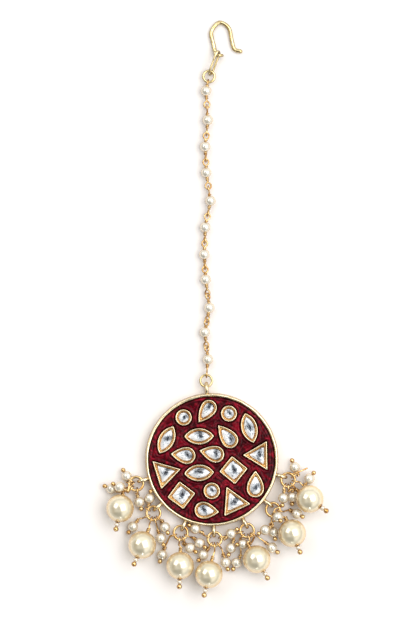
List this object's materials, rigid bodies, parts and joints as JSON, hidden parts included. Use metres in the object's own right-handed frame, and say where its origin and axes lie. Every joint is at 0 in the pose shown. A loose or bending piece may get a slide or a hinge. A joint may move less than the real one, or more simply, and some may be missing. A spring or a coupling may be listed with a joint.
{
  "type": "maang tikka",
  "caption": "Maang tikka: round red-enamelled pendant with set stones, a lower fringe of pearl drops, a pearl link chain and a hair hook, lying flat.",
  "frame": {"origin": "centre of the pendant's flat back face", "axes": "+Y runs along the chain from the pendant to the hair hook, +Z points out of the pendant's stones, +X completes the right hand"},
  "size_m": [0.0643, 0.1643, 0.008],
  "materials": {
    "gold": "polished pale gold plating",
    "enamel": "glossy dark red glass enamel",
    "crystal": "faceted, foil-backed",
    "pearl": "pearly cream lustre"
  },
  "bodies": {
    "root": {"pendant_frame": "gold", "enamel": "enamel", "stone_round_1": "crystal", "stone_round_2": "crystal", "stone_round_3": "crystal", "stone_pear_1": "crystal", "stone_pear_2": "crystal", "stone_pear_3": "crystal", "stone_pear_4": "crystal", "stone_pear_5": "crystal", "stone_pear_6": "crystal", "stone_marquise_1": "crystal", "stone_marquise_2": "crystal", "stone_marquise_3": "crystal", "stone_marquise_4": "crystal", "stone_triangle_1": "crystal", "stone_triangle_2": "crystal", "stone_triangle_3": "crystal", "stone_square_1": "crystal", "stone_square_2": "crystal", "large_pearl_1": "pearl", "pearl_pin_1": "gold", "small_pearls_1": "pearl", "large_pearl_2": "pearl", "pearl_pin_2": "gold", "small_pearls_2": "pearl", "large_pearl_3": "pearl", "pearl_pin_3": "gold", "small_pearls_3": "pearl", "large_pearl_4": "pearl", "pearl_pin_4": "gold", "small_pearls_4": "pearl", "large_pearl_5": "pearl", "pearl_pin_5": "gold", "small_pearls_5": "pearl", "large_pearl_6": "pearl", "pearl_pin_6": "gold", "small_pearls_6": "pearl", "large_pearl_7": "pearl", "pearl_pin_7": "gold", "small_pearls_7": "pearl", "chain_link_1": "pearl", "chain_link_2": "pearl", "chain_link_3": "pearl", "chain_link_4": "pearl", "chain_link_5": "pearl", "chain_link_6": "pearl", "chain_link_7": "pearl", "chain_link_8": "pearl", "chain_link_9": "pearl", "chain_link_10": "pearl", "chain_link_11": "pearl", "chain_ring": "gold", "hook_ring": "gold", "hook_link": "gold", "hook": "gold"}
  },
  "joints": []
}
